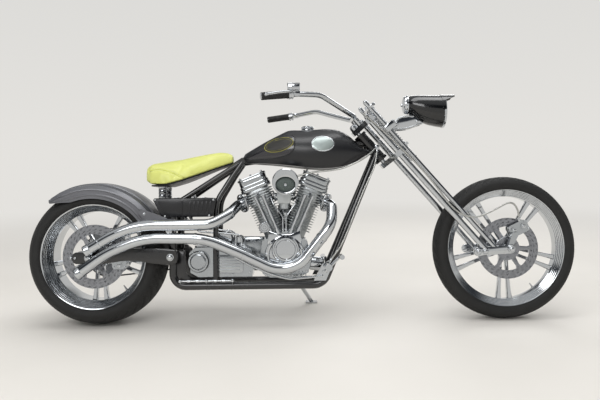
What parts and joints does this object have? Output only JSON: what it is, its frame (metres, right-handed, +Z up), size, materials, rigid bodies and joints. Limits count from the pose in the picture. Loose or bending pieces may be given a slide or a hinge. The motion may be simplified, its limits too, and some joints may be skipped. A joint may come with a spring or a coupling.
{
  "type": "chopper motorcycle",
  "caption": "Long low chopper motorcycle with a raked springer fork, V-twin engine, stretched tank, solo seat and wide rear tyre, leaning on its side stand.",
  "frame": {"origin": "on the floor, under the centre of the bounding box, with the bike leaning on its side stand", "axes": "+X to the front wheel, +Y to the rider's left, +Z up from the floor"},
  "size_m": [2.801, 0.8895, 1.1884],
  "materials": {
    "frame_paint": "gloss black",
    "satin_paint": "satin dark grey to black",
    "gloss_paint": "high gloss black",
    "chrome": "mirror polished",
    "polished_alloy": "polished",
    "cast_alloy": "cast, machined fin edges",
    "steel": "ground",
    "seat_leather": "lime green, semi-gloss",
    "belt_rubber": "matte",
    "grip_rubber": "matte",
    "hose_braid": "braided",
    "lamp_glass": "clear, fluted",
    "tyre": "matte black"
  },
  "bodies": {
    "chassis": {"air_cleaner": "chrome", "backbone": "frame_paint", "cables": "hose_braid", "cam_cover": "chrome", "carburettor": "cast_alloy", "crankcase": "polished_alloy", "cylinders": "cast_alloy", "downtubes": "frame_paint", "drive_belt": "belt_rubber", "foot_controls": "chrome", "front_exhaust": "chrome", "fuel_tank": "satin_paint", "gearbox": "polished_alloy", "lower_rails": "frame_paint", "oil_tank": "satin_paint", "primary_cover": "polished_alloy", "pushrod_tubes": "chrome", "rear_axle": "chrome", "rear_caliper": "polished_alloy", "rear_exhaust": "chrome", "rear_fender": "satin_paint", "rear_uprights": "frame_paint", "rocker_boxes": "polished_alloy", "seat_cushion": "seat_leather", "seat_pan": "frame_paint", "seat_post_tubes": "frame_paint", "seat_rails": "frame_paint", "seat_springs": "chrome", "side_covers": "satin_paint", "swingarm": "frame_paint", "tank_cap": "chrome"},
    "fork": {"triple_clamps": "chrome", "fork_rear_legs": "chrome", "fork_front_legs": "chrome", "fork_springs": "chrome", "fork_rockers": "chrome", "handlebar": "chrome", "grips": "grip_rubber", "levers": "chrome", "headlamp_shell": "gloss_paint", "headlamp_lens": "lamp_glass", "headlamp_bracket": "chrome", "front_caliper": "polished_alloy", "brake_hose": "hose_braid"},
    "front_wheel": {"front_tyre": "tyre", "front_rim": "chrome", "front_disc": "steel"},
    "rear_wheel": {"rear_tyre": "tyre", "rear_rim": "chrome", "rear_disc": "steel"},
    "side_stand": {"side_stand": "chrome"}
  },
  "joints": [
    {"name": "steering", "type": "hinge", "parent": "chassis", "child": "fork", "pos_m": [0.3275, -0.01673, 0.91676], "axis": [-0.6587, 0.0721, 0.749], "range_deg": [-32, 32]},
    {"name": "front_wheel_spin", "type": "hinge", "parent": "fork", "child": "front_wheel", "pos_m": [1.0345, -0.06988, 0.36475], "axis": [0, 0.9954, -0.0958], "continuous": true},
    {"name": "rear_wheel_spin", "type": "hinge", "parent": "chassis", "child": "rear_wheel", "pos_m": [-1.0505, -0.07135, 0.34945], "axis": [0, 0.9954, -0.0958], "continuous": true},
    {"name": "side_stand_fold", "type": "hinge", "parent": "chassis", "child": "side_stand", "pos_m": [-0.0355, 0.06413, 0.17058], "axis": [0.0593, 0.6676, 0.7421], "range_deg": [0, 103]}
  ]
}
